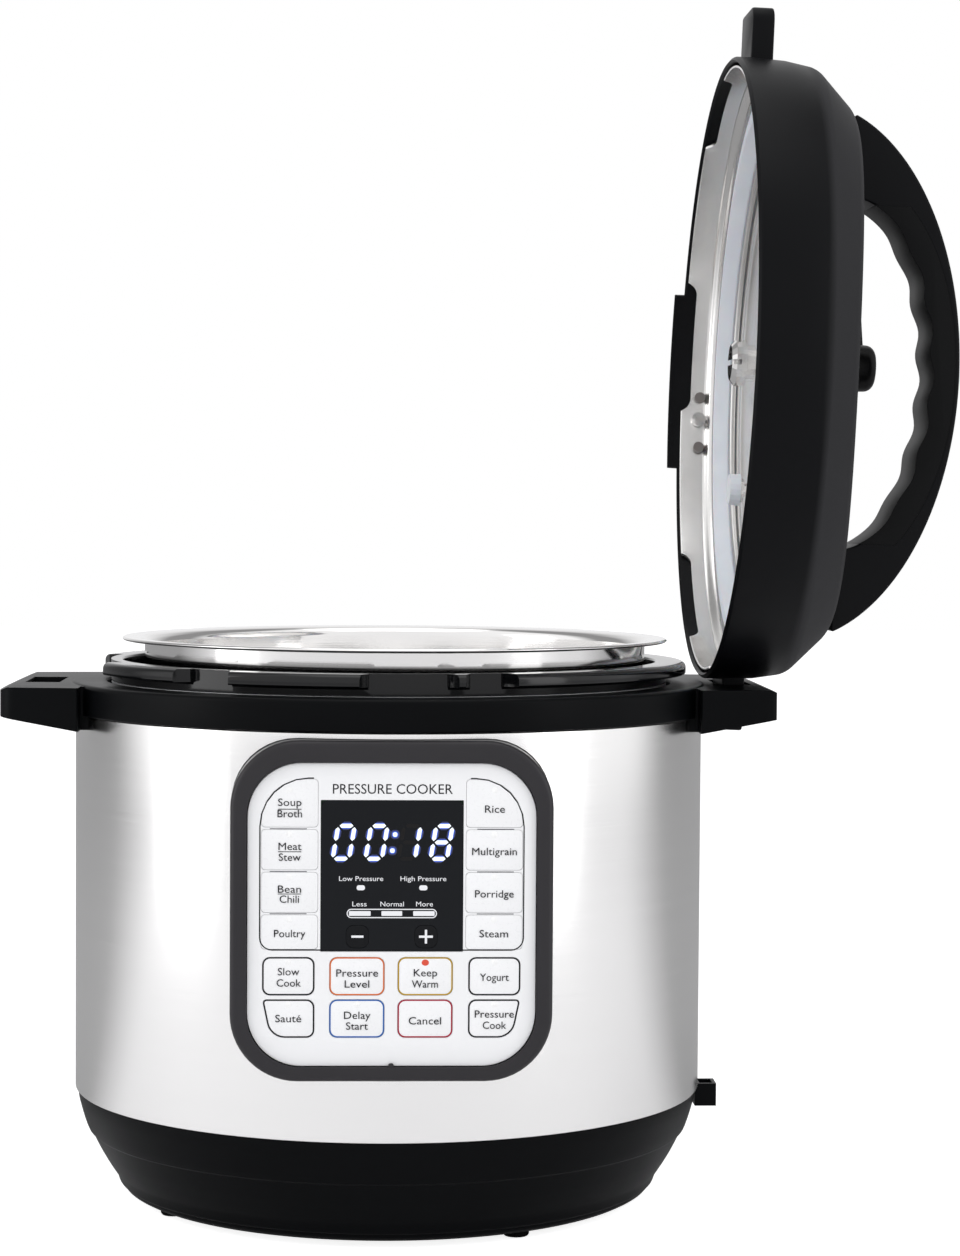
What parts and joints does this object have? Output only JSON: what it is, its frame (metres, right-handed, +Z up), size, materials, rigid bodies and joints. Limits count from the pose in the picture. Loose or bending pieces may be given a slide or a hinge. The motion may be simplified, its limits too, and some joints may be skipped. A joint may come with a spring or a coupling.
{
  "type": "electric pressure cooker",
  "caption": "Round electric pressure cooker with a steel body, black base and side handles, a front control panel, an inner pot and its lid parked upright in a handle.",
  "frame": {"origin": "centre of the bottom plate's underside, on the pot axis; the feet reach 3 mm below it", "axes": "+Z up along the pot axis, -Y towards the control panel (front), +X towards the handle that holds the parked lid"},
  "size_m": [0.4189, 0.301, 0.5209],
  "materials": {
    "black_plastic": "satin black moulding",
    "grip_plastic": "fine-textured black",
    "valve_plastic": "satin black",
    "gloss_black": "glossy black",
    "foot_rubber": "matt",
    "brushed_steel": "brushed vertically",
    "polished_steel": "polished stainless steel",
    "plain_steel": "plain",
    "aluminium": "cast, satin",
    "bezel_plastic": "dark grey satin",
    "silver_fascia": "silver-grey film",
    "key_film": "pale film with a printed outline",
    "window_black": "glossy dark window",
    "board": "coated board",
    "silicone": "pale translucent silicone",
    "clear_cup": "frosted clear plastic"
  },
  "bodies": {
    "base": {"base_housing": "black_plastic", "bottom_plate": "plain_steel", "foot_front_right": "foot_rubber", "foot_rear_right": "foot_rubber", "foot_rear_left": "foot_rubber", "foot_front_left": "foot_rubber", "steel_shell": "brushed_steel", "spoon_holder": "black_plastic", "power_board": "board", "power_inlet": "black_plastic", "top_ring": "black_plastic", "handle_liner_right": "black_plastic", "handle_liner_left": "black_plastic", "locking_ring": "gloss_black", "outer_pot": "aluminium", "heating_plate": "aluminium", "sensor_housing": "black_plastic", "sensor_spring": "plain_steel", "panel_bezel": "bezel_plastic", "panel_fascia": "silver_fascia", "display_window": "window_black", "display_module": "gloss_black", "control_board": "board"},
    "lid": {"lid_shell": "black_plastic", "lid_plate": "brushed_steel", "lid_handle": "black_plastic", "handle_grip": "grip_plastic", "sealing_ring": "silicone", "sealing_rack": "plain_steel", "steam_pipe": "polished_steel", "anti_block_shield": "polished_steel", "float_seal": "silicone", "lock_pin": "polished_steel", "guard_screw_upper": "plain_steel", "guard_screw_lower": "plain_steel"},
    "steam_release": {"steam_release_knob": "valve_plastic"},
    "float": {"float_valve": "polished_steel"},
    "pot": {"inner_pot": "polished_steel"},
    "sensor": {"sensor_cap": "aluminium"},
    "collector": {"condensation_collector": "clear_cup"},
    "soup_key": {"key_soup": "key_film"},
    "meat_key": {"key_meat": "key_film"},
    "bean_key": {"key_bean": "key_film"},
    "poultry_key": {"key_poultry": "key_film"},
    "rice_key": {"key_rice": "key_film"},
    "multigrain_key": {"key_multigrain": "key_film"},
    "porridge_key": {"key_porridge": "key_film"},
    "steam_key": {"key_steam": "key_film"},
    "slow_cook_key": {"key_slow_cook": "key_film"},
    "pressure_level_key": {"key_pressure_level": "key_film"},
    "keep_warm_key": {"key_keep_warm": "key_film"},
    "yogurt_key": {"key_yogurt": "key_film"},
    "saute_key": {"key_saute": "key_film"},
    "delay_key": {"key_delay": "key_film"},
    "cancel_key": {"key_cancel": "key_film"},
    "pressure_cook_key": {"key_pressure_cook": "key_film"},
    "minus_key": {"key_minus": "window_black"},
    "plus_key": {"key_plus": "window_black"}
  },
  "joints": [
    {"name": "lid_lift", "type": "slide", "parent": "base", "child": "lid", "axis": [0.0366, 0.0003, 0.9993], "range_m": [0, 0.12]},
    {"name": "steam_release_turn", "type": "hinge", "parent": "lid", "child": "steam_release", "pos_m": [0.20228, 0.04552, 0.3641], "axis": [0.9993, 0.0087, -0.0366], "range_deg": [-45, 0]},
    {"name": "float_travel", "type": "slide", "parent": "lid", "child": "float", "axis": [0.9993, 0.0087, -0.0366], "range_m": [0, 0.004]},
    {"name": "pot_lift", "type": "slide", "parent": "base", "child": "pot", "axis": [0, 0, 1], "range_m": [0, 0.2]},
    {"name": "sensor_press", "type": "slide", "parent": "base", "child": "sensor", "axis": [0, 0, 1], "range_m": [-0.002, 0], "stiffness_N_per_m": 400, "springref_m": 0.003, "deforming": ["sensor_spring"]},
    {"name": "collector_pull", "type": "slide", "parent": "base", "child": "collector", "axis": [0, 1, 0], "range_m": [0, 0.06]},
    {"name": "soup_key_press", "type": "slide", "parent": "base", "child": "soup_key", "axis": [0, 1, 0], "range_m": [0, 0.0004], "stiffness_N_per_m": 3000, "springref_m": -0.0002},
    {"name": "meat_key_press", "type": "slide", "parent": "base", "child": "meat_key", "axis": [0, 1, 0], "range_m": [0, 0.0004], "stiffness_N_per_m": 3000, "springref_m": -0.0002},
    {"name": "bean_key_press", "type": "slide", "parent": "base", "child": "bean_key", "axis": [0, 1, 0], "range_m": [0, 0.0004], "stiffness_N_per_m": 3000, "springref_m": -0.0002},
    {"name": "poultry_key_press", "type": "slide", "parent": "base", "child": "poultry_key", "axis": [0, 1, 0], "range_m": [0, 0.0004], "stiffness_N_per_m": 3000, "springref_m": -0.0002},
    {"name": "rice_key_press", "type": "slide", "parent": "base", "child": "rice_key", "axis": [0, 1, 0], "range_m": [0, 0.0004], "stiffness_N_per_m": 3000, "springref_m": -0.0002},
    {"name": "multigrain_key_press", "type": "slide", "parent": "base", "child": "multigrain_key", "axis": [0, 1, 0], "range_m": [0, 0.0004], "stiffness_N_per_m": 3000, "springref_m": -0.0002},
    {"name": "porridge_key_press", "type": "slide", "parent": "base", "child": "porridge_key", "axis": [0, 1, 0], "range_m": [0, 0.0004], "stiffness_N_per_m": 3000, "springref_m": -0.0002},
    {"name": "steam_key_press", "type": "slide", "parent": "base", "child": "steam_key", "axis": [0, 1, 0], "range_m": [0, 0.0004], "stiffness_N_per_m": 3000, "springref_m": -0.0002},
    {"name": "slow_cook_key_press", "type": "slide", "parent": "base", "child": "slow_cook_key", "axis": [0, 1, 0], "range_m": [0, 0.0004], "stiffness_N_per_m": 3000, "springref_m": -0.0002},
    {"name": "pressure_level_key_press", "type": "slide", "parent": "base", "child": "pressure_level_key", "axis": [0, 1, 0], "range_m": [0, 0.0004], "stiffness_N_per_m": 3000, "springref_m": -0.0002},
    {"name": "keep_warm_key_press", "type": "slide", "parent": "base", "child": "keep_warm_key", "axis": [0, 1, 0], "range_m": [0, 0.0004], "stiffness_N_per_m": 3000, "springref_m": -0.0002},
    {"name": "yogurt_key_press", "type": "slide", "parent": "base", "child": "yogurt_key", "axis": [0, 1, 0], "range_m": [0, 0.0004], "stiffness_N_per_m": 3000, "springref_m": -0.0002},
    {"name": "saute_key_press", "type": "slide", "parent": "base", "child": "saute_key", "axis": [0, 1, 0], "range_m": [0, 0.0004], "stiffness_N_per_m": 3000, "springref_m": -0.0002},
    {"name": "delay_key_press", "type": "slide", "parent": "base", "child": "delay_key", "axis": [0, 1, 0], "range_m": [0, 0.0004], "stiffness_N_per_m": 3000, "springref_m": -0.0002},
    {"name": "cancel_key_press", "type": "slide", "parent": "base", "child": "cancel_key", "axis": [0, 1, 0], "range_m": [0, 0.0004], "stiffness_N_per_m": 3000, "springref_m": -0.0002},
    {"name": "pressure_cook_key_press", "type": "slide", "parent": "base", "child": "pressure_cook_key", "axis": [0, 1, 0], "range_m": [0, 0.0004], "stiffness_N_per_m": 3000, "springref_m": -0.0002},
    {"name": "minus_key_press", "type": "slide", "parent": "base", "child": "minus_key", "axis": [0, 1, 0], "range_m": [0, 0.0004], "stiffness_N_per_m": 3000, "springref_m": -0.0002},
    {"name": "plus_key_press", "type": "slide", "parent": "base", "child": "plus_key", "axis": [0, 1, 0], "range_m": [0, 0.0004], "stiffness_N_per_m": 3000, "springref_m": -0.0002}
  ]
}
